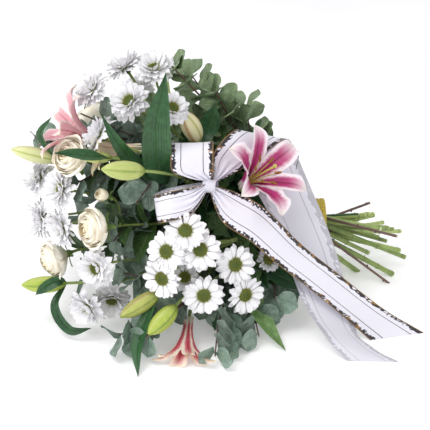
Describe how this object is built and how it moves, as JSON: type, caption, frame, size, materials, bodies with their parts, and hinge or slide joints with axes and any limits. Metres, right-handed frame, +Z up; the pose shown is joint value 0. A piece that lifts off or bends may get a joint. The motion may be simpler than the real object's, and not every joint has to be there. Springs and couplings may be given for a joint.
{
  "type": "funeral bouquet",
  "caption": "Hand-tied funeral bouquet lying on its side: white daisy chrysanthemums, ivory roses, pink lilies and eucalyptus, with a white satin bow.",
  "frame": {"origin": "middle of the bounding box in plan, on the surface the bouquet lies on", "axes": "+X towards the cut stem ends, +Y away from the side with the bow, +Z up from the surface"},
  "size_m": [0.5338, 0.4142, 0.3492],
  "materials": {
    "chrysanthemum_green": "matt green stems, cups and lobed leaves, with olive green discs",
    "ray_petals": "white, soft sheen",
    "rose_green": "satin green",
    "rose_petals": "ivory with a warmer heart, soft sheen",
    "lily_green": "satin green stems and leaves, lime buds",
    "lily_petals": "pink with a darker middle and white margins, satin",
    "eucalyptus": "grey-green leaves with a waxy bloom on brown twigs",
    "ruscus": "dark green, slightly glossy",
    "satin": "white satin with a black and gold edge pattern",
    "raffia": "yellow natural raffia, matt",
    "wire": "green paper-covered florist's wire, matt"
  },
  "bodies": {
    "root": {"chrysanthemum_front": "chrysanthemum_green", "chrysanthemum_low": "chrysanthemum_green", "chrysanthemum_crown": "chrysanthemum_green", "chrysanthemum_foot": "chrysanthemum_green", "chrysanthemum_top": "chrysanthemum_green", "chrysanthemum_far": "chrysanthemum_green", "rose_left": "rose_green", "rose_middle": "rose_green", "rose_low": "rose_green", "rose_far": "rose_green", "lily_bow": "lily_green", "lily_left": "lily_green", "lily_low": "lily_green", "lily_top": "lily_green", "lily_far": "lily_green", "eucalyptus_top": "eucalyptus", "eucalyptus_left": "eucalyptus", "eucalyptus_low": "eucalyptus", "eucalyptus_far": "eucalyptus", "ruscus_under": "ruscus", "bow_pick": "wire", "ribbon_tail_front": "satin", "ribbon_tail_back": "satin", "ribbon_loop_upper": "satin", "ribbon_loop_lower": "satin", "ribbon_knot": "satin", "raffia_tie": "raffia", "lily_bow_flower_1": "lily_petals", "lily_left_flower_1": "lily_petals", "lily_left_flower_2": "lily_petals", "lily_low_flower_1": "lily_petals", "lily_far_flower_1": "lily_petals", "rose_left_bloom_1": "rose_petals", "rose_middle_bloom_1": "rose_petals", "rose_middle_bloom_2": "rose_petals", "rose_low_bloom_1": "rose_petals", "rose_far_bloom_1": "rose_petals", "chrysanthemum_front_rays_1": "ray_petals", "chrysanthemum_front_rays_2": "ray_petals", "chrysanthemum_low_rays_1": "ray_petals", "chrysanthemum_low_rays_2": "ray_petals", "chrysanthemum_low_rays_4": "ray_petals", "chrysanthemum_low_rays_5": "ray_petals", "chrysanthemum_crown_rays_1": "ray_petals", "chrysanthemum_crown_rays_2": "ray_petals", "chrysanthemum_crown_rays_3": "ray_petals", "chrysanthemum_crown_rays_4": "ray_petals", "chrysanthemum_foot_rays_1": "ray_petals", "chrysanthemum_foot_rays_2": "ray_petals", "chrysanthemum_foot_rays_3": "ray_petals", "chrysanthemum_top_rays_1": "ray_petals", "chrysanthemum_top_rays_2": "ray_petals", "chrysanthemum_top_rays_3": "ray_petals", "chrysanthemum_top_rays_4": "ray_petals", "chrysanthemum_top_rays_5": "ray_petals", "chrysanthemum_top_rays_6": "ray_petals", "chrysanthemum_far_rays_1": "ray_petals", "chrysanthemum_far_rays_2": "ray_petals", "chrysanthemum_far_rays_3": "ray_petals", "chrysanthemum_far_rays_4": "ray_petals"}
  },
  "joints": []
}
